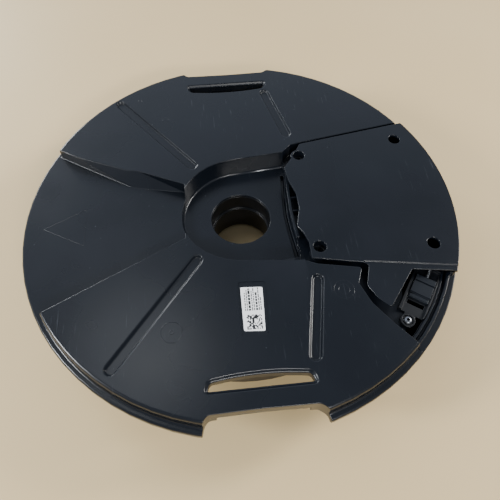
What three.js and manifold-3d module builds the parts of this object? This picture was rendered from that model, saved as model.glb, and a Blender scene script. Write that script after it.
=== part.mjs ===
// Round surface cleaner housing: moulded deck, lowered sector, hub recess with a
// through bore, sector cover with service window, drum and brush skirt below.
// Millimetres, +Z up, origin at the centre of the footprint on the ground.
import * as THREE from 'three';
import { mergeVertices } from 'three/addons/utils/BufferGeometryUtils.js';
import Module from 'manifold-3d';

const wasm = await Module();
wasm.setup();

// Driving dimensions.
const LIP_R = 225;
const DECK_R = 218;
const LIP_Z = 60;
const FLANGE_Z = 69;
const DECK_Z = 83;
const HUB_Z = 61;
const BAY_Z = 66;
const WALL = 3;
const BORE_R = 31.5;
const HANDLE_Y = 205.5;
const SLOT_Y = 187;
const SLOT_HALF = 46.5;
const DRUM_R = 165;
const DRUM_Z = 22;
const JOIN_Z = 60;
const SCREW_ANGLES = [60, 115, 180, 245, 300];
const COVER_HOLES = [[70.7, 63.4], [183, 76.5], [73.1, -56.2], [186.3, -63.6]];
const SLIDE_ANGLE = -35;

const COLORS = {
  satin_black: [0x2b3037, 0.42, 0],
  cover_black: [0x292e35, 0.46, 0],
  black_pp: [0x22262b, 0.5, 0],
  steel: [0x9a9ea2, 0.35, 1],
  acetal: [0x3a3f45, 0.45, 0],
  rubber: [0x17191b, 0.8, 0],
  bristle: [0x1d1f22, 0.7, 0],
  label: [0xe9eaea, 0.5, 0],
};

const root = new THREE.Group();

function rad(deg) {
  return (deg * Math.PI) / 180;
}

// A closed three.js geometry becomes a solid that can be joined and cut.
function solid(geometry) {
  const g = geometry.clone();
  g.deleteAttribute('normal');
  if (g.attributes.uv) g.deleteAttribute('uv');
  const m = mergeVertices(g, 1e-4);
  const mesh = new wasm.Mesh({
    numProp: 3,
    vertProperties: new Float32Array(m.attributes.position.array),
    triVerts: new Uint32Array(m.index.array),
  });
  return new wasm.Manifold(mesh);
}

// A solid of revolution from a closed list of [radius, height] points.
function ring(points, segments = 32) {
  const profile = points.map(([r, z]) => new THREE.Vector2(r, z));
  profile.push(profile[0].clone());
  const g = new THREE.LatheGeometry(profile, segments);
  g.rotateX(Math.PI / 2);
  return outward(g);
}

// A solid disc stack: the profile starts and ends on the axis.
function disc(points, segments = 48) {
  const profile = points.map(([r, z]) => new THREE.Vector2(r, z));
  const g = new THREE.LatheGeometry(profile, segments);
  g.rotateX(Math.PI / 2);
  return outward(g);
}

// Turns a geometry right side out when its signed volume is negative.
function outward(geometry) {
  geometry.deleteAttribute('normal');
  if (geometry.attributes.uv) geometry.deleteAttribute('uv');
  const g = mergeVertices(geometry, 1e-4);
  const p = g.attributes.position;
  const old = g.index.array;
  const keep = [];
  let volume = 0;
  for (let i = 0; i < old.length; i += 3) {
    const [a, b, c] = [old[i], old[i + 1], old[i + 2]];
    if (a === b || b === c || c === a) continue;
    keep.push(a, b, c);
    const va = new THREE.Vector3().fromBufferAttribute(p, a);
    const vb = new THREE.Vector3().fromBufferAttribute(p, b);
    const vc = new THREE.Vector3().fromBufferAttribute(p, c);
    volume += va.dot(vb.cross(vc)) / 6;
  }
  if (volume < 0) {
    for (let i = 0; i < keep.length; i += 3) {
      [keep[i], keep[i + 1]] = [keep[i + 1], keep[i]];
    }
  }
  g.setIndex(keep);
  return solid(g);
}

function cylinder(x, y, r, z0, z1, segments = 14) {
  return disc([[0, z0], [r, z0], [r, z1], [0, z1]], segments).translate([x, y, 0]);
}

function tube(x, y, r0, r1, z0, z1, segments = 14) {
  return ring([[r0, z0], [r1, z0], [r1, z1], [r0, z1]], segments).translate([x, y, 0]);
}

// A prism between two outlines with the same number of points.
function loft(lowLine, highLine, z0, z1) {
  const turn = area(lowLine) < 0;
  const low = turn ? [...lowLine].reverse() : lowLine;
  const high = turn ? [...highLine].reverse() : highLine;
  const n = low.length;
  const position = [];
  for (const [x, y] of low) position.push(x, y, z0);
  for (const [x, y] of high) position.push(x, y, z1);
  const index = [];
  const caps = THREE.ShapeUtils.triangulateShape(low.map(([x, y]) => new THREE.Vector2(x, y)), []);
  for (const [a, b, c] of caps) {
    index.push(a, c, b);
    index.push(n + a, n + b, n + c);
  }
  for (let i = 0; i < n; i += 1) {
    const j = (i + 1) % n;
    index.push(i, j, n + j, i, n + j, n + i);
  }
  const g = new THREE.BufferGeometry();
  g.setAttribute('position', new THREE.Float32BufferAttribute(position, 3));
  g.setIndex(index);
  return outward(g);
}

function prism(outline, z0, z1) {
  return loft(outline, outline, z0, z1);
}

function area(outline) {
  let sum = 0;
  outline.forEach(([x, y], i) => {
    const [u, v] = outline[(i + 1) % outline.length];
    sum += x * v - u * y;
  });
  return sum / 2;
}

// Moves every side of an outline outward by d, with mitred corners.
function grow(outline, d) {
  const pts = area(outline) > 0 ? outline : [...outline].reverse();
  const n = pts.length;
  return pts.map((p, i) => {
    const a = pts[(i + n - 1) % n];
    const b = pts[(i + 1) % n];
    const e1 = new THREE.Vector2(p[0] - a[0], p[1] - a[1]).normalize();
    const e2 = new THREE.Vector2(b[0] - p[0], b[1] - p[1]).normalize();
    const n1 = new THREE.Vector2(e1.y, -e1.x);
    const n2 = new THREE.Vector2(e2.y, -e2.x);
    const mid = n1.clone().add(n2).normalize();
    const k = d / Math.max(0.5, mid.dot(n1));
    return [p[0] + mid.x * k, p[1] + mid.y * k];
  });
}

function arc(cx, cy, r, a0, a1, steps) {
  const out = [];
  for (let i = 0; i <= steps; i += 1) {
    const a = rad(a0 + ((a1 - a0) * i) / steps);
    out.push([cx + r * Math.cos(a), cy + r * Math.sin(a)]);
  }
  return out;
}

function rounded(points, radius, steps = 3) {
  const out = [];
  const n = points.length;
  points.forEach((p, i) => {
    const a = points[(i + n - 1) % n];
    const b = points[(i + 1) % n];
    const r = Array.isArray(radius) ? radius[i] : radius;
    const v = new THREE.Vector2(...p);
    const da = new THREE.Vector2(a[0] - p[0], a[1] - p[1]);
    const db = new THREE.Vector2(b[0] - p[0], b[1] - p[1]);
    const t = Math.min(r, da.length() * 0.45, db.length() * 0.45);
    const s = v.clone().addScaledVector(da.normalize(), t);
    const e = v.clone().addScaledVector(db.normalize(), t);
    if (t < 0.05) {
      out.push(p);
      return;
    }
    const curve = new THREE.QuadraticBezierCurve(s, v, e);
    for (const q of curve.getPoints(steps)) out.push([q.x, q.y]);
  });
  return out;
}

// A slot outline with rounded ends between two points.
function stadium(x0, y0, x1, y1, r) {
  const a = (Math.atan2(y1 - y0, x1 - x0) * 180) / Math.PI;
  return [...arc(x1, y1, r, a - 90, a + 90, 5), ...arc(x0, y0, r, a + 90, a + 270, 5)];
}

function mirrored(outline) {
  return outline.map(([x, y]) => [x, -y]).reverse();
}

function add(name, body, slot) {
  const m = body.getMesh();
  const g = new THREE.BufferGeometry();
  g.setAttribute('position', new THREE.Float32BufferAttribute(m.vertProperties, 3));
  g.setIndex(new THREE.Uint32BufferAttribute(m.triVerts, 1));
  g.computeVertexNormals();
  const [color, roughness, metalness] = COLORS[slot];
  const material = new THREE.MeshStandardMaterial({ color, roughness, metalness });
  const mesh = new THREE.Mesh(g, material);
  mesh.name = name;
  root.add(mesh);
}

// Outlines in plan.
const sectorRear = [[-57.2, 35], [-120, 64.5], [-194.6, 98.1]];
const SECTOR = [
  [-240, 120], ...[...sectorRear].reverse(),
  [-57.5, 20], [-57.5, -20],
  [-58.6, -32.8], [-120, -63.5], [-193.9, -100.8], [-240, -123],
];
const SECTOR_FOOT = SECTOR.map(([x, y]) => (x === -120 && y > 0 ? [-115, 47.5] : [x, y]));
const HUB_TOP = [...arc(0, 0, 64.5, 98, 262, 16), [55.8, -69.8], [57, 0], [54.4, 71]];
const HUB_FOOT = [...arc(0, 0, 61, 98, 262, 16), [55, -66.6], [56, 0], [54, 67.6]];

// The points of one rounded corner of an outline.
function bend(before, corner, after, radius, steps = 4) {
  const toward = (end) => {
    const [dx, dy] = [end[0] - corner[0], end[1] - corner[1]];
    const length = Math.hypot(dx, dy);
    return [dx / length, dy / length];
  };
  const [a, b] = [toward(before), toward(after)];
  const half = Math.acos(a[0] * b[0] + a[1] * b[1]) / 2;
  const reach = radius / Math.tan(half);
  const from = [corner[0] + a[0] * reach, corner[1] + a[1] * reach];
  const to = [corner[0] + b[0] * reach, corner[1] + b[1] * reach];
  const line = [];
  for (let i = 0; i <= steps; i += 1) {
    const t = i / steps;
    const [p, q, r] = [(1 - t) ** 2, 2 * t * (1 - t), t ** 2];
    line.push([p * from[0] + q * corner[0] + r * to[0], p * from[1] + q * corner[1] + r * to[1]]);
  }
  return line;
}

const MOAT = [[50, 54], [54, 54], [50.5, 20], [50, 0], [51, -20], [55, -54], [51, -54],
  [47.8, -20], [46.8, 0], [47.2, 20]];
const BAY = [
  [54.4, 71], [64, 80], [74, 82.3], [197, 103.5], [232, 110],
  [240, -40], [232, -150], [190, -190], [142.6, -163.2],
  [125.6, -142.6], [110.6, -121.2],
  ...bend([110.6, -121.2], [102.4, -99.7], [108.8, -88.5], 4),
  ...bend([102.4, -99.7], [109.6, -83.3], [67.7, -74.9], 3.4),
  [67.7, -74.9], [55.8, -69.8], [52.5, -40], [50.8, 0], [52.5, 40],
];
const SLOT = [
  ...rounded([[-SLOT_HALF, -SLOT_Y], [SLOT_HALF, -SLOT_Y], [44.5, -178.4],
    [22, -175.6], [0, -174.8], [-22, -175.6], [-44.5, -178.4]], [2.2, 2.2, 5, 9, 9, 9, 5]),
];
const NOTCH = rounded([[-47, -HANDLE_Y], [0, -204.6], [47, -HANDLE_Y], [54, -211], [62, -245],
  [-60, -245], [-51, -210]], [3, 10, 3, 3, 1, 1, 3]);
const GROOVES = [
  [-127.7, 163.5, -47.6, 60.6], [-126.7, -159.4, -48, -59.2],
  [44.8, 167.6, 61.7, 97.9], [49.7, -164.5, 64.7, -91.5],
];
const COVER = [
  [74, 80.4], [196.8, 101.4], ...arc(0, 0, 221.6, 26.5, -25, 22), [200, -95.7],
  ...bend([200, -95.7], [157.5, -89.6], [127.2, -126], 3),
  ...bend([157.5, -89.6], [127.2, -127], [116.7, -115.8], 3.5),
  [116.7, -115.8],
  ...bend([116.7, -115.8], [109.6, -101.5], [116.4, -89.3], 4.5),
  ...bend([109.6, -101.5], [117.4, -79], [63, -68.3], 4.5),
  [63, -68.3], [63.2, -49.9], [59.2, -37.6], [54.3, -29.8],
  [59.9, -7.8], [59.5, 12], [54, 30], [52.1, 47.1], [66, 66],
];

function deckOutside() {
  const r = 3.5;
  const top = [];
  for (const a of [90, 60, 30, 0]) {
    top.push([DECK_R - r + r * Math.cos(rad(a)), DECK_Z - r + r * Math.sin(rad(a))]);
  }
  return disc([
    [0, 50], [LIP_R - 1, 50], [LIP_R - 1, LIP_Z - 0.01], [LIP_R, LIP_Z + 1],
    [LIP_R, FLANGE_Z - 1.5], [LIP_R - 1.5, FLANGE_Z],
    [DECK_R + 1.6, FLANGE_Z], [DECK_R, FLANGE_Z + 1.6], ...top.reverse(), [0, DECK_Z],
  ], 72);
}

function deckInside() {
  return disc([
    [0, 40], [LIP_R - WALL, 40], [LIP_R - WALL, FLANGE_Z - WALL],
    [DECK_R - WALL, FLANGE_Z - WALL], [DECK_R - WALL, DECK_Z - WALL], [0, DECK_Z - WALL],
  ], 72);
}

// The moulded deck: an outer form with its pockets cut from above, less an inner
// form that stays one wall thickness away from every surface.
function deckShell() {
  let outer = deckOutside();
  let inner = deckInside();
  const cut = (low, high, floor) => {
    outer = outer.subtract(loft(low, high, floor, DECK_Z + 4));
    inner = inner.subtract(loft(grow(low, WALL), grow(high, WALL), floor - WALL, DECK_Z + 4));
  };
  cut(SECTOR_FOOT, SECTOR, FLANGE_Z);
  cut(HUB_FOOT, HUB_TOP, HUB_Z);
  cut(MOAT, MOAT, HUB_Z - 5);
  cut(BAY, BAY, BAY_Z);
  for (const [x0, y0, x1, y1] of GROOVES) {
    cut(stadium(x0, y0, x1, y1, 4), stadium(x0, y0, x1, y1, 8.2), DECK_Z - WALL);
  }
  inner = inner.subtract(tube(0, 0, DRUM_R - WALL, DRUM_R, JOIN_Z, 90, 72));
  for (const a of SCREW_ANGLES) {
    inner = inner.subtract(cylinder(154 * Math.cos(rad(a)), 154 * Math.sin(rad(a)), 5, JOIN_Z, 90));
  }
  for (const [x, y] of COVER_HOLES) {
    inner = inner.subtract(cylinder(x, y, 5, JOIN_Z, 90));
  }
  for (const i of [0, 1]) inner = inner.subtract(cylinder(...guideHole(i), 5, JOIN_Z, 90));
  for (const outline of [SLOT, mirrored(SLOT)]) {
    outer = outer.subtract(prism(outline, 40, 90));
    outer = outer.subtract(loft(grow(outline, 0.05), grow(outline, 2.2), DECK_Z - 2.6, DECK_Z + 0.01));
    inner = inner.subtract(prism(grow(outline, WALL), FLANGE_Z, 90));
  }
  for (const outline of [NOTCH, mirrored(NOTCH)]) {
    outer = outer.subtract(prism(outline, 40, 90));
    inner = inner.subtract(prism(grow(outline, WALL), LIP_Z, 90));
  }
  let shell = outer.subtract(inner);
  shell = shell.subtract(tube(0, 0, 180, 240, 30, LIP_Z, 72));
  for (const s of [-1, 1]) {
    const y = s * 206;
    shell = shell.subtract(prism([[-40, y - 12], [40, y - 12], [40, y + 12], [-40, y + 12]],
      40, FLANGE_Z));
  }
  shell = shell.subtract(cylinder(0, 0, BORE_R, 40, 90, 48));
  for (const a of SCREW_ANGLES) {
    const [x, y] = [154 * Math.cos(rad(a)), 154 * Math.sin(rad(a))];
    shell = shell.subtract(cylinder(x, y, 2.2, 40, 64.9, 8));
  }
  for (const [x, y] of COVER_HOLES) {
    shell = shell.add(cylinder(x, y, 7, 65, 69)).subtract(cylinder(x, y, 2.2, 62, 72, 8));
  }
  for (const i of [0, 1]) shell = shell.subtract(cylinder(...guideHole(i), 2.1, 62, 72, 8));
  // Upper rim band beside the cover, with a groove between it and the lip.
  const band = tube(0, 0, 215, DECK_R, BAY_Z - 1, BAY_Z + 6.5, 72);
  const strip = tube(0, 0, 209.8, 212.6, BAY_Z - 1, FLANGE_Z + 0.4, 72);
  shell = shell.add(band.add(strip).intersect(prism(grow(BAY, -0.05), 50, 90)));
  const label = rounded([[-11.5, -87], [15.5, -89], [11.5, -144], [-12.5, -142.5]], 4);
  shell = shell.subtract(prism(label, DECK_Z - 0.6, 90));
  return shell;
}

// The screwed cover over the rear-right bay, open at the service window.
function sectorCover() {
  let body = prism(COVER, DECK_Z - WALL, DECK_Z);
  for (const [x, y] of COVER_HOLES) body = body.add(cylinder(x, y, 9, 69.3, DECK_Z - 1, 18));
  const clip = prism(grow(COVER, -0.2), 60, 90);
  const lipBand = tube(0, 0, 219, 221.5, FLANGE_Z + 0.6, DECK_Z - 1, 72).intersect(clip);
  body = body.add(lipBand);
  for (const [x, y] of COVER_HOLES) {
    body = body.subtract(cylinder(x, y, 6.5, 73, 90, 16));
    body = body.subtract(cylinder(x, y, 2.4, 60, 90, 8));
  }
  const bend = prism([[113, -76.6], [202, -90.1], [214, -140], [100, -140]], DECK_Z - 1.2, 90);
  return body.subtract(bend);
}

function screw(x, y, head, headHigh, shank, length, zSeat) {
  const dome = [
    [0, zSeat], [head, zSeat], [head, zSeat + headHigh * 0.45], [head * 0.78, zSeat + headHigh * 0.85],
    [head * 0.4, zSeat + headHigh], [0, zSeat + headHigh],
  ];
  let body = disc(dome, 12).add(cylinder(0, 0, shank, zSeat - length, zSeat + 0.5, 8));
  const socket = [];
  for (let i = 0; i < 6; i += 1) {
    socket.push([head * 0.36 * Math.cos(rad(i * 60)), head * 0.36 * Math.sin(rad(i * 60))]);
  }
  body = body.subtract(prism(socket, zSeat + headHigh * 0.35, zSeat + 10));
  return body.translate([x, y, 0]);
}

// The ridged slide runs in a straight guide set square to a radius.
function local(body) {
  return body.rotate([0, 0, SLIDE_ANGLE]);
}

function box(x0, x1, y0, y1, z0, z1) {
  return prism([[x0, y0], [x1, y0], [x1, y1], [x0, y1]], z0, z1);
}

function thumbSlide() {
  let body = box(186.6, 206.4, -6, 20, 68.8, 71.4);
  body = body.add(box(186.6, 206.4, -0.4, 12.2, 71.3, 73.2));
  body = body.add(box(186.6, 206.4, 13.8, 20, 71.3, 73.2));
  body = body.add(box(187.5, 205.5, -5.4, -2.6, 71.3, 72.3));
  return local(body);
}

function slideGuide() {
  let body = box(183, 209.5, -22, 42.5, BAY_Z + 0.3, 68.5);
  body = body.add(box(183, 186.2, -22, 34, 68.4, 71)).add(box(206.8, 209.5, -22, 34, 68.4, 71));
  body = body.add(box(183, 209.5, 32.3, 33.7, 68.4, 72));
  body = body.add(box(190, 201, -31, -20, BAY_Z + 0.3, 68.5));
  body = body.subtract(box(188.5, 204.5, -12, -7.5, 60, 90));
  const [x, y] = guideHole(0);
  const within = cylinder(0, 0, 209.3, 60, 90, 72);
  body = local(body).intersect(within).add(cylinder(x, y, 7, BAY_Z + 0.3, 68.5, 18));
  body = body.add(tube(x, y, 5.2, 7, 68.4, 70.2, 18));
  for (const i of [0, 1]) body = body.subtract(cylinder(...guideHole(i), 2.3, 60, 90, 8));
  return body;
}

function guideHole(i) {
  const [x, y] = i === 0 ? [195.4, -29.5] : [197, 38.2];
  const a = rad(SLIDE_ANGLE);
  return [x * Math.cos(a) - y * Math.sin(a), x * Math.sin(a) + y * Math.cos(a)];
}

function springCoil(p0, p1, r, wire, turns) {
  const a = new THREE.Vector3(...p0);
  const axis = new THREE.Vector3(...p1).sub(a);
  const u = new THREE.Vector3(-axis.y, axis.x, 0).normalize();
  const v = new THREE.Vector3(0, 0, 1);
  class Helix extends THREE.Curve {
    getPoint(t, out = new THREE.Vector3()) {
      const w = t * turns * Math.PI * 2;
      return out.copy(a).addScaledVector(axis, t)
        .addScaledVector(u, Math.cos(w) * r).addScaledVector(v, Math.sin(w) * r);
    }
  }
  const shape = new THREE.Shape();
  for (let i = 0; i < 4; i += 1) {
    const q = [wire * Math.cos(rad(i * 90)), wire * Math.sin(rad(i * 90))];
    if (i === 0) shape.moveTo(...q);
    else shape.lineTo(...q);
  }
  const g = new THREE.ExtrudeGeometry(shape, {
    steps: turns * 9, bevelEnabled: false, extrudePath: new Helix(), curveSegments: 1,
  });
  return outward(g);
}

function combInsert() {
  let body = prism([[53.6, 44], [57, 44], [55.4, 20], [54.8, 0], [55.6, -20], [57.4, -36],
    [54, -36], [52.6, -20], [51.8, 0], [52.4, 20]], BAY_Z + 0.2, 71.4);
  for (const y of [33, 15.5, -2, -19]) {
    body = body.add(box(53.6, 64, y - 1, y + 1, BAY_Z + 0.2, 70.6));
  }
  return body;
}

function lowerHousing() {
  let body = ring([
    [39.5, DRUM_Z], [DRUM_R - 2, DRUM_Z], [DRUM_R, DRUM_Z + 2], [DRUM_R, JOIN_Z - 0.3],
    [DRUM_R - WALL, JOIN_Z - 0.3], [DRUM_R - WALL, DRUM_Z + WALL], [39.5, DRUM_Z + WALL],
  ], 72);
  body = body.add(tube(0, 0, 35.7, 41, 12, 50.7, 40));
  for (let i = 0; i < 6; i += 1) {
    const rib = box(40.5, 162.5, -1.2, 1.2, 24, 44).rotate([0, 0, i * 60 + 27]);
    body = body.add(rib);
  }
  for (const a of SCREW_ANGLES) {
    const [x, y] = [154 * Math.cos(rad(a)), 154 * Math.sin(rad(a))];
    body = body.add(cylinder(x, y, 6.2, DRUM_Z + 1, JOIN_Z - 0.3));
  }
  for (const a of SCREW_ANGLES) {
    const [x, y] = [154 * Math.cos(rad(a)), 154 * Math.sin(rad(a))];
    body = body.subtract(cylinder(x, y, 4.4, 10, 52)).subtract(cylinder(x, y, 2.2, 10, 70, 8));
  }
  return body;
}

add('deck_shell', deckShell(), 'satin_black');
add('sector_cover', sectorCover(), 'cover_black');
COVER_HOLES.forEach(([x, y], i) => {
  add(`cover_screw_${i + 1}`, screw(x, y, 4.2, 2.6, 1.9, 10, 73.2), 'steel');
});
add('comb_insert', combInsert(), 'acetal');
add('slide_guide', slideGuide(), 'black_pp');
add('thumb_slide', thumbSlide(), 'acetal');
add('slide_spring', local(springCoil([197, 20.8, 70.7], [197, 31.8, 70.7], 1.5, 0.3, 6)), 'steel');
add('guide_screw_1', screw(...guideHole(0), 3.95, 2.6, 1.8, 5, 68.8), 'steel');
add('guide_screw_2', screw(...guideHole(1), 3.95, 2.6, 1.8, 5, 68.8), 'steel');
add('rating_label', prism(rounded([[-9.5, -93], [11.3, -94.5], [9, -138], [-10, -136.5]], 1.5),
  DECK_Z - 0.55, DECK_Z - 0.2), 'label');
add('hub_seal', ring([[36, 56.2], [41.5, 56.2], [41.5, 57.7], [36, 57.7]]), 'rubber');
add('hub_sleeve', ring([
  [BORE_R, 57.6], [35.2, 57.6], [35.2, 55.9], [41, 55.9], [41, 53.4], [35.2, 53.4],
  [35.2, 10], [33.8, 10], [33.8, 8], [35.2, 8], [35.2, 4], [BORE_R, 4],
  [BORE_R, 33], [29.5, 34], [29.5, 38], [BORE_R, 38],
]), 'black_pp');
add('thrust_washer', ring([[36, 51], [41, 51], [41, 53.1], [36, 53.1]]), 'acetal');
add('hub_retaining_ring', ring([[34.1, 8.3], [39, 8.3], [39, 9.7], [34.1, 9.7]]), 'steel');
add('lower_housing', lowerHousing(), 'black_pp');
SCREW_ANGLES.forEach((a, i) => {
  const s = screw(0, 0, 3.7, 2.6, 1.8, 12, 0).rotate([180, 0, 0]);
  const at = [154 * Math.cos(rad(a)), 154 * Math.sin(rad(a)), 51.7];
  add(`housing_screw_${i + 1}`, s.translate(at), 'steel');
});
add('skirt_carrier', ring([[146, 15], [163, 15], [163, 21.7], [146, 21.7]], 72), 'black_pp');
add('brush_skirt', ring([[150, 0], [158, 0], [159, 14.7], [149, 14.7]], 72), 'bristle');

export default root;
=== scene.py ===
import math
import random

import bmesh
import bpy
from mathutils import Matrix, Vector


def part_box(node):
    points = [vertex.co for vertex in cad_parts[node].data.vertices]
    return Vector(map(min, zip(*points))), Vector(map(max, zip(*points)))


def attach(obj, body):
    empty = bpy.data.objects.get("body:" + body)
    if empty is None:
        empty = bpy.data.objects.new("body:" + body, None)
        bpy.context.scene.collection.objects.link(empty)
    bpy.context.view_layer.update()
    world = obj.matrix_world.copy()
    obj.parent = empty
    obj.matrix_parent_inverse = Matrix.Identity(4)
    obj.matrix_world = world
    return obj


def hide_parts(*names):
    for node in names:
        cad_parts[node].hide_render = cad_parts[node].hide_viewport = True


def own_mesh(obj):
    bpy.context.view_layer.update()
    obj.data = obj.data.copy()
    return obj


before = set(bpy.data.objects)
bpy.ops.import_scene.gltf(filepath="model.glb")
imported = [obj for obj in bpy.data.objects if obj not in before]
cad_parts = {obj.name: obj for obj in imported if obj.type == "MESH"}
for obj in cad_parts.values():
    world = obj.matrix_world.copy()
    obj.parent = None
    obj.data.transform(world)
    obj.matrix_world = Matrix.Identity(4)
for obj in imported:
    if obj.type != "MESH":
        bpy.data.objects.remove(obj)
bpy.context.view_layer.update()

# --- Camera -------------------------------------------------------------------
# A hand-held camera leans over the front of the deck and looks down on it, so
# the front finger slot is nearest and the sector cover is on the right.
stand = Vector((-0.0245, -0.2943, 0.4848))
look = Vector((0.0608, 0.5131, -0.8562)).normalized()
level_side = Vector((0.9930, -0.1177, 0.0)).normalized()
level_over = level_side.cross(look).normalized()
lean = math.radians(0.8)
side = level_side * math.cos(lean) + level_over * math.sin(lean)
over = level_over * math.cos(lean) - level_side * math.sin(lean)
lens = bpy.data.cameras.new("deck_camera")
lens.lens = 34.56
lens.sensor_width = 36.0
lens.clip_start = 0.01
camera = bpy.data.objects.new("deck_camera", lens)
turn = Matrix((side, over, -look)).transposed().to_4x4()
camera.matrix_world = Matrix.Translation(stand) @ turn
bpy.context.scene.collection.objects.link(camera)
bpy.context.scene.camera = camera


# --- Ground -------------------------------------------------------------------
# A plain pale bench top carries the brush skirt. It is only the stage, finished
# as a smooth light laminate.
def linear(code):
    channels = [int(code[i:i + 2], 16) / 255 for i in (1, 3, 5)]
    return [c / 12.92 if c < 0.04045 else ((c + 0.055) / 1.055) ** 2.4 for c in channels] + [1.0]


# One node with its settings and links: in_N sets input N, iN links input N, and any
# other name is a property, or an input where it isn't one.
def add_node(tree, kind, settings=None, **links):
    made = tree.nodes.new(kind)
    for key, value in (settings or {}).items():
        if key.startswith("in_"):
            made.inputs[int(key[3:])].default_value = value
        elif hasattr(made, key):
            setattr(made, key, value)
        else:
            made.inputs[key].default_value = value
    for key, source in links.items():
        name = key.replace("_", " ")
        place = int(key[1:]) if key[0] == "i" and key[1:].isdigit() else name
        tree.links.new(source, made.inputs[place])
    return made


def start_finish(name):
    finish = bpy.data.materials.new(name)
    finish.use_nodes = True
    finish.node_tree.nodes.clear()
    return finish, finish.node_tree


def end_finish(tree, shader):
    out = add_node(tree, "ShaderNodeOutputMaterial")
    tree.links.new(shader.outputs[0], out.inputs["Surface"])


# Matt printed laminate: pale, with a slow change of tone.
laminate, tree = start_finish("pale_bench_laminate")
where = add_node(tree, "ShaderNodeTexCoord").outputs["Object"]
cloud = add_node(tree, "ShaderNodeTexNoise", {"Scale": 3.0, "Detail": 3.0}, Vector=where)
tone = add_node(tree, "ShaderNodeMix", {"data_type": "RGBA", "in_6": linear("#E6CD9C"),
                                        "in_7": linear("#DCC08C")}, i0=cloud.outputs["Fac"])
end_finish(tree, add_node(tree, "ShaderNodeBsdfPrincipled", {"Roughness": 0.55},
                          Base_Color=tone.outputs[2]))
floor_mesh = bpy.data.meshes.new("bench_top")
reach = 4
floor_mesh.from_pydata([(-reach, -reach, 0), (reach, -reach, 0), (reach, reach, 0),
                        (-reach, reach, 0)], [], [(0, 1, 2, 3)])
floor_mesh.materials.append(laminate)
bench = bpy.data.objects.new("bench_top", floor_mesh)
bpy.context.scene.collection.objects.link(bench)


# --- Light --------------------------------------------------------------------
# The room is bright behind the deck and dimmer above and in front of it. A window
# at the rear left and three small panels draw bright lines along the rounded
# edges, and a weak ceiling lamp leaves a soft patch at the front left.
def panel(name, place, aim, size, power, tint):
    lamp = bpy.data.lights.new(name, "AREA")
    lamp.shape = "RECTANGLE"
    lamp.size, lamp.size_y = size
    lamp.energy = power
    lamp.color = tint
    rig = bpy.data.objects.new(name, lamp)
    rig.location = place
    rig.rotation_euler = (Vector(aim) - Vector(place)).to_track_quat("-Z", "Y").to_euler()
    bpy.context.scene.collection.objects.link(rig)


deck_middle = (0, 0, 0.05)
panel("ceiling_lamp", (-0.42, 0.465, 1.8), deck_middle, (0.42, 0.42), 1.9, (0.95, 0.98, 1.0))
panel("left_panel", (-1.7, -0.3, 1.05), deck_middle, (0.35, 0.55), 32, (0.97, 0.99, 1.0))
panel("front_panel", (0.3, -1.5, 1.2), deck_middle, (0.7, 0.16), 22, (1.0, 0.99, 0.97))
panel("right_panel", (1.6, 0.3, 1.0), deck_middle, (0.35, 0.55), 26, (1.0, 0.98, 0.95))
panel("window_panel", (-1.25, 1.6, 0.66), deck_middle, (0.6, 0.5), 24, (0.95, 0.98, 1.0))
world = bpy.data.worlds.new("room")
world.use_nodes = True
room = world.node_tree
toward = add_node(room, "ShaderNodeTexCoord").outputs["Generated"]
# The world is brightest low down at the rear left and dims towards the front.
bright_way = (-0.30, 0.90, -0.55)
facing = add_node(room, "ShaderNodeVectorMath", {"operation": "DOT_PRODUCT",
                                                "in_1": bright_way}, i0=toward)
bright = add_node(room, "ShaderNodeMapRange", {"in_1": -0.10, "in_2": 0.35, "in_3": 0.50,
                                               "in_4": 1.45}, Value=facing.outputs["Value"])
room.nodes["Background"].inputs[0].default_value = linear("#BFC8D6")
room.links.new(bright.outputs[0], room.nodes["Background"].inputs[1])
bpy.context.scene.world = world


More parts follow.
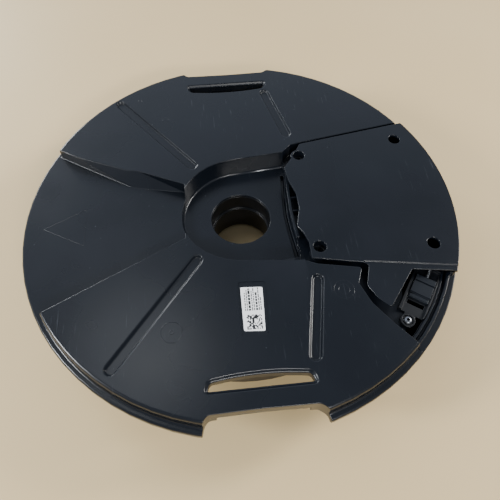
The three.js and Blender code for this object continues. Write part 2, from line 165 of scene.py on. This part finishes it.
# --- Deck shell ---------------------------------------------------------------
# The deck is one polypropylene moulding about 3 mm thick. Its edges leave the
# tool with small radii, and its satin skin picks up swirls, specks and rubs.
# Moulded polypropylene with a satin skin: near black, with a soft grey-blue sheen,
# fine grain, faint hairline rubs and a few pale specks.
def satin_plastic(name, dark, light, rough, grain_mm, rub=0.5):
    finish, tree = start_finish(name)
    where = add_node(tree, "ShaderNodeTexCoord").outputs["Object"]
    # Fine spark-eroded grain of the tool, drawn a little coarse so that it shows.
    grain = add_node(tree, "ShaderNodeTexNoise",
                     {"Scale": 1000 / grain_mm, "Detail": 3.0, "Roughness": 0.6}, Vector=where)
    # Slow flow marks, tens of millimetres across.
    flow = add_node(tree, "ShaderNodeTexNoise",
                    {"Scale": 14.0, "Detail": 3.0, "Distortion": 0.2}, Vector=where)
    # Rubs and hairline scratches from handling, stretched along two directions.
    hair = []
    for angle, stretch in ((0.5, 55.0), (-0.9, 70.0)):
        turned = add_node(tree, "ShaderNodeMapping", {"Rotation": (0, 0, angle),
                                                      "Scale": (stretch * 12, stretch * 0.6, 30)},
                          Vector=where)
        streak = add_node(tree, "ShaderNodeTexNoise", {"Scale": 1.0, "Detail": 2.0},
                          Vector=turned.outputs[0])
        edge = add_node(tree, "ShaderNodeMapRange", {"in_1": 0.70, "in_2": 0.76},
                        Value=streak.outputs["Fac"])
        hair.append(edge.outputs[0])
    both = add_node(tree, "ShaderNodeMath", {"operation": "MAXIMUM"}, i0=hair[0], i1=hair[1])
    zone = add_node(tree, "ShaderNodeTexNoise", {"Scale": 9.0, "Detail": 2.0}, Vector=where)
    zone_edge = add_node(tree, "ShaderNodeMapRange", {"in_1": 0.50, "in_2": 0.68},
                         Value=zone.outputs["Fac"])
    rubs = add_node(tree, "ShaderNodeMath", {"operation": "MULTIPLY"},
                    i0=both.outputs[0], i1=zone_edge.outputs[0])
    rubs = add_node(tree, "ShaderNodeMath", {"operation": "MULTIPLY", "in_1": rub},
                    i0=rubs.outputs[0])
    # Pale dust specks, about 0.4 mm, far apart.
    dust = add_node(tree, "ShaderNodeTexVoronoi", {"Scale": 70.0}, Vector=where)
    speck = add_node(tree, "ShaderNodeMapRange", {"in_1": 0.028, "in_2": 0.018},
                     Value=dust.outputs["Distance"])
    speck = add_node(tree, "ShaderNodeMath", {"operation": "MULTIPLY", "in_1": 0.45},
                     i0=speck.outputs[0])
    marks = add_node(tree, "ShaderNodeMath", {"operation": "MAXIMUM"},
                     i0=rubs.outputs[0], i1=speck.outputs[0])
    scuffed = "#7C838C"
    base = add_node(tree, "ShaderNodeMix", {"data_type": "RGBA", "in_6": linear(dark),
                                            "in_7": linear(light)}, i0=flow.outputs["Fac"])
    worn = add_node(tree, "ShaderNodeMix", {"data_type": "RGBA", "in_7": linear(scuffed)},
                    i6=base.outputs[2], i0=marks.outputs[0])
    sheen = add_node(tree, "ShaderNodeMapRange", {"in_1": 0.3, "in_2": 0.7,
                                                  "in_3": rough - 0.02, "in_4": rough + 0.03},
                     Value=flow.outputs["Fac"])
    gloss = add_node(tree, "ShaderNodeMath", {"operation": "MULTIPLY_ADD", "in_1": 0.12},
                     i0=rubs.outputs[0], i2=sheen.outputs[0])
    bump = add_node(tree, "ShaderNodeBump", {"Strength": 0.10, "Distance": 0.00004},
                    Height=grain.outputs["Fac"])
    wave = add_node(tree, "ShaderNodeBump", {"Strength": 0.08, "Distance": 0.0005},
                    Height=flow.outputs["Fac"], Normal=bump.outputs[0])
    end_finish(tree, add_node(tree, "ShaderNodeBsdfPrincipled", {"IOR": 1.49},
                              Base_Color=worn.outputs[2], Roughness=gloss.outputs[0],
                              Normal=wave.outputs[0]))
    return finish


deck_plastic = satin_plastic("satin_moulded_polypropylene", "#0A0E14", "#0F141C", 0.27, 0.55, 0.16)


# A copy of a plain solid whose sharp edges are rounded to a radius. Edges in the skip
# boxes stay sharp, and those that wide picks get a radius of their own.
def softened(name, radius, steps, finish, body="housing", sharp=28, skip=(), wide=None):
    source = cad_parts[name].data
    shape = bmesh.new()
    shape.from_mesh(source)
    same_spot, flat_angle = 3e-5, math.radians(0.6)
    bmesh.ops.remove_doubles(shape, verts=shape.verts, dist=same_spot)
    bmesh.ops.dissolve_limit(shape, angle_limit=flat_angle, verts=shape.verts,
                             edges=shape.edges)
    corners = []
    for edge in shape.edges:
        if len(edge.link_faces) != 2:
            continue
        if edge.calc_face_angle(0.0) > math.radians(sharp):
            spot = (edge.verts[0].co + edge.verts[1].co) / 2
            if any(low[0] < spot[0] < high[0] and low[1] < spot[1] < high[1] for low, high in skip):
                continue
            corners.append(edge)
    groups = [(radius, corners)]
    if wide:
        size, chosen = wide
        broad = [e for e in corners if all(chosen(v.co) for v in e.verts)]
        groups = [(size, broad), (radius, [e for e in corners if e not in set(broad)])]
    for size, edges in groups:
        bmesh.ops.bevel(shape, geom=[e for e in edges if e.is_valid], offset=size,
                        offset_type="OFFSET", segments=steps, profile=0.5, affect="EDGES",
                        clamp_overlap=False, loop_slide=False, miter_outer="SHARP",
                        miter_inner="SHARP")
    made = bpy.data.meshes.new(name + "_made")
    shape.to_mesh(made)
    shape.free()
    for face in made.polygons:
        face.use_smooth = True
    made.materials.append(finish)
    piece = bpy.data.objects.new(name + "_made", made)
    bpy.context.scene.collection.objects.link(piece)
    weigh = piece.modifiers.new("weigh", "WEIGHTED_NORMAL")
    weigh.keep_sharp = False
    weigh.weight = 80
    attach(piece, body)
    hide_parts(name)
    return piece


# The rounded foot of the wall round the hub floor.
def hub_curve(spot):
    apart = math.hypot(spot.x, spot.y)
    return 0.055 < apart < 0.09 and spot.x < 0.0545 and abs(spot.z - 0.061) < 0.0005


# The label recess, the moat's front end and the cover's rear corner stay crisp.
crisp = (((-0.016, -0.147), (0.019, -0.084)), ((0.046, -0.072), (0.060, -0.050)),
         ((0.0535, 0.0690), (0.0552, 0.0716)))
softened("deck_shell", 0.0008, 3, deck_plastic, skip=crisp,
         wide=(0.0024, hub_curve))


# --- Mould marks ----------------------------------------------------------------
# Marks left by the moulding tool: gate and ejector rings a few tenths of a
# millimetre high, and the raised direction arrow on the lowered sector.
def ring_mark(shape, x, y, z, radius, thick):
    around, over_top, sunk, flatness = 48, 6, 0.0001, 0.55
    rounds = []
    for step in range(around):
        a = math.tau * step / around
        circle = []
        for part in range(over_top):
            b = math.pi * part / (over_top - 1)
            r = radius + thick * math.cos(b)
            circle.append(shape.verts.new((x + r * math.cos(a), y + r * math.sin(a),
                                           z - sunk + thick * flatness * math.sin(b))))
        rounds.append(circle)
    for step in range(around):
        here, there = rounds[step], rounds[(step + 1) % around]
        for part in range(over_top):
            other = (part + 1) % over_top
            shape.faces.new((here[part], there[part], there[other], here[other]))


marks_mesh = bmesh.new()
deck_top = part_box("deck_shell")[1][2]
# The middle, radius and line thickness of each ring.
for x, y, radius, thick in ((-0.074, -0.131, 0.0098, 0.0005), (-0.074, -0.131, 0.0018, 0.0006),
                            (-0.075, 0.133, 0.0034, 0.0004), (0.087, -0.105, 0.0095, 0.0003),
                            (0.087, -0.105, 0.0052, 0.0003), (-0.105, 0.168, 0.002, 0.0004)):
    ring_mark(marks_mesh, x, y, deck_top, radius, thick)
sector_floor, half_line, sunk, proud = 0.0690, 0.00035, -0.0001, 0.0002
arrow = [Vector(p) for p in ((-0.2045, 0.0010), (-0.1622, -0.0230), (-0.1622, 0.0225))]
for k in range(3):
    start, end = arrow[k], arrow[(k + 1) % 3]
    across = (end - start).orthogonal().normalized() * half_line
    ends = [[marks_mesh.verts.new((point.x + across.x * part, point.y + across.y * part,
                                   sector_floor + high))
             for part, high in ((-1, sunk), (0, proud), (1, sunk))] for point in (start, end)]
    for part in range(3):
        other = (part + 1) % 3
        marks_mesh.faces.new((ends[0][part], ends[0][other], ends[1][other], ends[1][part]))
    marks_mesh.faces.new(ends[0][::-1])
    marks_mesh.faces.new(ends[1])
bmesh.ops.recalc_face_normals(marks_mesh, faces=marks_mesh.faces)
marks = bpy.data.meshes.new("mould_marks")
marks_mesh.to_mesh(marks)
marks_mesh.free()
marks.materials.append(deck_plastic)
mould_marks = bpy.data.objects.new("mould_marks", marks)
bpy.context.scene.collection.objects.link(mould_marks)
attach(mould_marks, "housing")

# --- Sector cover -------------------------------------------------------------
# A separate moulding screwed over the rear-right bay. It is a shade darker than
# the deck, with four deep screw wells and a stepped tongue by the window.
cover_plastic = satin_plastic("satin_moulded_cover", "#0A0E14", "#10151D", 0.28, 0.5, 0.12)
softened("sector_cover", 0.0008, 3, cover_plastic)

# --- Service window -----------------------------------------------------------
# The guide and its ridged slide sit below the window. They are a plain black
# moulding and an acetal runner, worn smooth by fingers.
guide_plastic = satin_plastic("plain_black_polypropylene", "#0A0C10", "#0F1217", 0.38, 0.4, 0.3)
runner_plastic = satin_plastic("finger_worn_acetal", "#11151B", "#181D24", 0.30, 0.8, 0.8)
softened("slide_guide", 0.0004, 2, guide_plastic)
softened("thumb_slide", 0.0004, 3, runner_plastic, "slide")
softened("comb_insert", 0.0004, 2, runner_plastic)

# --- Hub sleeve, washers and drum -----------------------------------------------
# The bore runs down through a turned-looking moulded bush with an inner ledge,
# held in the drum boss by a clip. The drum closes the deck from below.
# The sleeve's plastic is painted darker than the deck's. This is painted shade that stands in for
# the shadow down the bore.
bore_plastic_painted_shade = satin_plastic("bore_polypropylene_painted_shade", "#07080B", "#0B0D11", 0.30, 0.9, 0.2)


# A ring swept round the bore from its section, with every sharp edge eased.
def turned(name, profile, finish, slot, body, count=144):
    shape = bmesh.new()
    loops = []
    for step in range(count):
        a = math.tau * step / count
        loops.append([shape.verts.new((r * math.cos(a), r * math.sin(a), z)) for r, z in profile])
    for step in range(count):
        here, there = loops[step], loops[(step + 1) % count]
        for k in range(len(profile)):
            n = (k + 1) % len(profile)
            shape.faces.new((here[k], there[k], there[n], here[n]))
    bmesh.ops.recalc_face_normals(shape, faces=shape.faces)
    sharp, ease = math.radians(30), 0.0005
    edges = [e for e in shape.edges if e.calc_face_angle(0.0) > sharp]
    bmesh.ops.bevel(shape, geom=edges, offset=ease, offset_type="OFFSET", segments=3,
                    profile=0.5, affect="EDGES", clamp_overlap=False)
    made = bpy.data.meshes.new(name + "_made")
    shape.to_mesh(made)
    shape.free()
    for face in made.polygons:
        face.use_smooth = True
    made.materials.append(finish)
    piece = bpy.data.objects.new(name + "_made", made)
    bpy.context.scene.collection.objects.link(piece)
    weigh = piece.modifiers.new("weigh", "WEIGHTED_NORMAL")
    weigh.weight = 80
    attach(piece, body)
    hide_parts(name)


# The sleeve's section as radius and height: flange, clip groove and inner ledge.
sleeve_line = [(0.0315, 0.0576), (0.0352, 0.0576), (0.0352, 0.0559), (0.0409, 0.0559),
               (0.0409, 0.0534), (0.0352, 0.0534), (0.0352, 0.0100), (0.0338, 0.0100),
               (0.0338, 0.0080), (0.0352, 0.0080), (0.0352, 0.0040), (0.0313, 0.0040),
               (0.0309, 0.0330), (0.0294, 0.0345), (0.0294, 0.0380), (0.0315, 0.0380)]
turned("hub_sleeve", sleeve_line, bore_plastic_painted_shade, "black_pp", "hub")
softened("lower_housing", 0.0006, 2, guide_plastic)
softened("skirt_carrier", 0.0006, 2, guide_plastic)

# Soft matt black rubber with a faint bloom.
seal_rubber, tree = start_finish("moulded_nitrile_rubber")
where = add_node(tree, "ShaderNodeTexCoord").outputs["Object"]
bloom = add_node(tree, "ShaderNodeTexNoise", {"Scale": 400.0}, Vector=where)
puff = add_node(tree, "ShaderNodeBump", {"Strength": 0.2, "Distance": 0.0001},
                Height=bloom.outputs["Fac"])
end_finish(tree, add_node(tree, "ShaderNodeBsdfPrincipled",
                          {"Base Color": linear("#17191B"), "Roughness": 0.75},
                          Normal=puff.outputs[0]))
softened("hub_seal", 0.0003, 2, seal_rubber)
softened("thrust_washer", 0.0003, 2, runner_plastic)

# --- Screws, clip and spring ----------------------------------------------------
# Zinc-plated steel pan-head screws with a six-lobe socket, a wire clip and a
# small coil spring.
# Zinc plate on steel: bright grey, slightly cloudy.
plated, tree = start_finish("bright_zinc_plated_steel")
where = add_node(tree, "ShaderNodeTexCoord").outputs["Object"]
fleck = add_node(tree, "ShaderNodeTexNoise", {"Scale": 900.0, "Detail": 4.0}, Vector=where)
dull = add_node(tree, "ShaderNodeMapRange", {"in_3": 0.26, "in_4": 0.46},
                Value=fleck.outputs["Fac"])
dent = add_node(tree, "ShaderNodeBump", {"Strength": 0.15, "Distance": 0.00005},
                Height=fleck.outputs["Fac"])
end_finish(tree, add_node(tree, "ShaderNodeBsdfPrincipled",
                          {"Base Color": linear("#8E9196"), "Metallic": 1.0},
                          Roughness=dull.outputs[0], Normal=dent.outputs[0]))
# Black oxide on steel: dark, with a dull metal glint.
blackened, tree = start_finish("black_oxide_steel")
where = add_node(tree, "ShaderNodeTexCoord").outputs["Object"]
fleck = add_node(tree, "ShaderNodeTexNoise", {"Scale": 900.0, "Detail": 4.0}, Vector=where)
dull = add_node(tree, "ShaderNodeMapRange", {"in_3": 0.36, "in_4": 0.5},
                Value=fleck.outputs["Fac"])
end_finish(tree, add_node(tree, "ShaderNodeBsdfPrincipled",
                          {"Base Color": linear("#1E2024"), "Metallic": 1.0},
                          Roughness=dull.outputs[0]))
for name in sorted(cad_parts):
    if "screw" in name:
        look_of = blackened if "cover" in name else plated
        softened(name, 0.00015, 2, look_of)
softened("hub_retaining_ring", 0.0002, 2, plated, "hub")
spring = softened("slide_spring", 0.00005, 1, plated, sharp=60)
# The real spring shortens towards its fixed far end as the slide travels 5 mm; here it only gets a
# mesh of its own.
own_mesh(spring)

# --- Brush skirt ----------------------------------------------------------------
# Nylon filament tufts stand in the carrier ring and reach the ground.
# Crimped nylon filament: near black, with a soft shine along each bristle.
nylon, tree = start_finish("crimped_nylon_filament")
where = add_node(tree, "ShaderNodeTexCoord").outputs["Object"]
shade = add_node(tree, "ShaderNodeTexNoise", {"Scale": 500.0}, Vector=where)
tone = add_node(tree, "ShaderNodeMix", {"data_type": "RGBA", "in_6": linear("#141517"),
                                        "in_7": linear("#2A2C30")}, i0=shade.outputs["Fac"])
end_finish(tree, add_node(tree, "ShaderNodeBsdfPrincipled", {"Roughness": 0.45},
                          Base_Color=tone.outputs[2]))


def bristle_tree():
    tufts = bpy.data.node_groups.new("bristle_ring", "GeometryNodeTree")
    face = tufts.interface
    face.new_socket("Geometry", in_out="OUTPUT", socket_type="NodeSocketGeometry")
    for label, kind, value in (("Rows", "NodeSocketInt", 5), ("Per row", "NodeSocketInt", 520),
                               ("Inner", "NodeSocketFloat", 0.1505),
                               ("Outer", "NodeSocketFloat", 0.1575),
                               ("Length", "NodeSocketFloat", 0.0145),
                               ("Thick", "NodeSocketFloat", 0.0005)):
        socket = face.new_socket(label, in_out="INPUT", socket_type=kind)
        socket.default_value = value
    given = add_node(tufts, "NodeGroupInput").outputs
    count = add_node(tufts, "ShaderNodeMath", {"operation": "MULTIPLY"},
                     i0=given["Rows"], i1=given["Per row"])
    points = add_node(tufts, "GeometryNodePoints", Count=count.outputs[0])
    index = add_node(tufts, "GeometryNodeInputIndex").outputs[0]
    row = add_node(tufts, "ShaderNodeMath", {"operation": "MODULO"}, i0=index, i1=given["Rows"])
    gap = add_node(tufts, "ShaderNodeMath", {"operation": "SUBTRACT"},
                   i0=given["Outer"], i1=given["Inner"])
    part = add_node(tufts, "ShaderNodeMath", {"operation": "DIVIDE"},
                    i0=row.outputs[0], i1=given["Rows"])
    out = add_node(tufts, "ShaderNodeMath", {"operation": "MULTIPLY_ADD"},
                   i0=part.outputs[0], i1=gap.outputs[0], i2=given["Inner"])
    share = add_node(tufts, "ShaderNodeMath", {"operation": "DIVIDE"}, i0=index,
                     i1=count.outputs[0])
    angle = add_node(tufts, "ShaderNodeMath", {"operation": "MULTIPLY", "in_1": math.tau},
                     i0=share.outputs[0])
    wobble = add_node(tufts, "FunctionNodeRandomValue",
                      {"data_type": "FLOAT_VECTOR", "in_0": (-0.0006, -0.0006, 0.0),
                       "in_1": (0.0006, 0.0006, 0.0), "Seed": 4})
    cosine = add_node(tufts, "ShaderNodeMath", {"operation": "COSINE"}, i0=angle.outputs[0])
    sine = add_node(tufts, "ShaderNodeMath", {"operation": "SINE"}, i0=angle.outputs[0])
    x = add_node(tufts, "ShaderNodeMath", {"operation": "MULTIPLY"},
                 i0=cosine.outputs[0], i1=out.outputs[0])
    y = add_node(tufts, "ShaderNodeMath", {"operation": "MULTIPLY"},
                 i0=sine.outputs[0], i1=out.outputs[0])
    half = add_node(tufts, "ShaderNodeMath", {"operation": "MULTIPLY", "in_1": 0.5},
                    i0=given["Length"])
    spot = add_node(tufts, "ShaderNodeCombineXYZ", X=x.outputs[0], Y=y.outputs[0],
                    Z=half.outputs[0])
    place = add_node(tufts, "GeometryNodeSetPosition", Geometry=points.outputs[0],
                     Position=spot.outputs[0], Offset=wobble.outputs[0])
    hair = add_node(tufts, "GeometryNodeMeshCone", {"Vertices": 5}, Radius_Top=given["Thick"],
                    Radius_Bottom=given["Thick"], Depth=given["Length"])
    centre = add_node(tufts, "GeometryNodeTransform", Geometry=hair.outputs[0])
    drop = add_node(tufts, "ShaderNodeMath", {"operation": "MULTIPLY", "in_1": -0.5},
                    i0=given["Length"])
    shift = add_node(tufts, "ShaderNodeCombineXYZ", Z=drop.outputs[0])
    tufts.links.new(shift.outputs[0], centre.inputs["Translation"])
    many = add_node(tufts, "GeometryNodeInstanceOnPoints", Points=place.outputs[0],
                    Instance=centre.outputs[0])
    real = add_node(tufts, "GeometryNodeRealizeInstances", Geometry=many.outputs[0])
    skin = add_node(tufts, "GeometryNodeSetMaterial", {"Material": nylon},
                    Geometry=real.outputs[0])
    end = add_node(tufts, "NodeGroupOutput")
    tufts.links.new(skin.outputs[0], end.inputs[0])
    return tufts


carrier = bpy.data.objects.new("brush_skirt_made", bpy.data.meshes.new("brush_skirt_made"))
bpy.context.scene.collection.objects.link(carrier)
grow = carrier.modifiers.new("bristles", "NODES")
grow.node_group = bristle_tree()
for item in grow.node_group.interface.items_tree:
    if item.in_out == "INPUT":
        grow[item.identifier] = item.default_value
made = bpy.data.meshes.new_from_object(
    carrier.evaluated_get(bpy.context.evaluated_depsgraph_get()))
carrier.modifiers.remove(grow)
carrier.data = made
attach(carrier, "housing")
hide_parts("brush_skirt")

# --- Rating label ---------------------------------------------------------------
# White printed film, stuck in a shallow recess near the front slot. Its print is
# plain bars and a plain block of squares, with nothing to read.
# White polyester film with a low gloss.
film, tree = start_finish("white_polyester_film")
where = add_node(tree, "ShaderNodeTexCoord").outputs["Object"]
mottle = add_node(tree, "ShaderNodeTexNoise", {"Scale": 300.0}, Vector=where)
pale = add_node(tree, "ShaderNodeMix", {"data_type": "RGBA", "in_6": linear("#F6F7F8"),
                                        "in_7": linear("#FFFFFF")}, i0=mottle.outputs["Fac"])
end_finish(tree, add_node(tree, "ShaderNodeBsdfPrincipled", {"Roughness": 0.3},
                          Base_Color=pale.outputs[2]))
softened("rating_label", 0.00008, 2, film)
# Ribbon-printed ink, slightly uneven.
ink, tree = start_finish("thermal_transfer_ink")
where = add_node(tree, "ShaderNodeTexCoord").outputs["Object"]
fade = add_node(tree, "ShaderNodeTexNoise", {"Scale": 2500.0}, Vector=where)
dark = add_node(tree, "ShaderNodeMix", {"data_type": "RGBA", "in_6": linear("#0C0D0F"),
                                        "in_7": linear("#1E2023")}, i0=fade.outputs["Fac"])
end_finish(tree, add_node(tree, "ShaderNodeBsdfPrincipled", {"Roughness": 0.5},
                          Base_Color=dark.outputs[2]))
label_low, label_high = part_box("rating_label")
print_mesh = bmesh.new()
label_turn = Matrix.Rotation(math.radians(-1.2), 4, "Z")
ink_lift = 0.00002
label_centre = Vector(((label_low[0] + label_high[0]) / 2, (label_low[1] + label_high[1]) / 2,
                       label_high[2] + ink_lift))


def bar(x, y, wide, tall):
    corners = []
    for dx, dy in ((-1, -1), (1, -1), (1, 1), (-1, 1)):
        spot = label_turn @ Vector((x + dx * wide / 2, y + dy * tall / 2, 0))
        corners.append(print_mesh.verts.new(label_centre + spot))
    print_mesh.faces.new(corners)


# Columns of short bars: place across the film, thickness and length of the column.
chance = random.Random(7)
bars_start, bar_gap = -0.0020, 0.0007
for across, thick, length in (
        (-0.0072, 0.0009, 0.018), (-0.0054, 0.0009, 0.021), (-0.0032, 0.0020, 0.022),
        (-0.0008, 0.0009, 0.019), (0.0010, 0.0009, 0.020), (0.0033, 0.0017, 0.016),
        (0.0055, 0.0009, 0.021), (0.0072, 0.0009, 0.013)):
    along = bars_start
    while along < bars_start + length:
        word = chance.uniform(0.0012, 0.0038)
        bar(across, along + word / 2, thick, word)
        along += word + bar_gap
# The block of squares: 14 each way, about half of them filled.
squares, pitch, square, filled = 14, 0.00100, 0.00102, 0.52
for column in range(squares):
    for line in range(squares):
        if chance.random() < filled:
            bar(-0.0066 + column * pitch, -0.0196 + line * pitch, square, square)
printed = bpy.data.meshes.new("label_print")
print_mesh.to_mesh(printed)
print_mesh.free()
printed.materials.append(ink)
label_print = bpy.data.objects.new("label_print", printed)
bpy.context.scene.collection.objects.link(label_print)
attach(label_print, "housing")
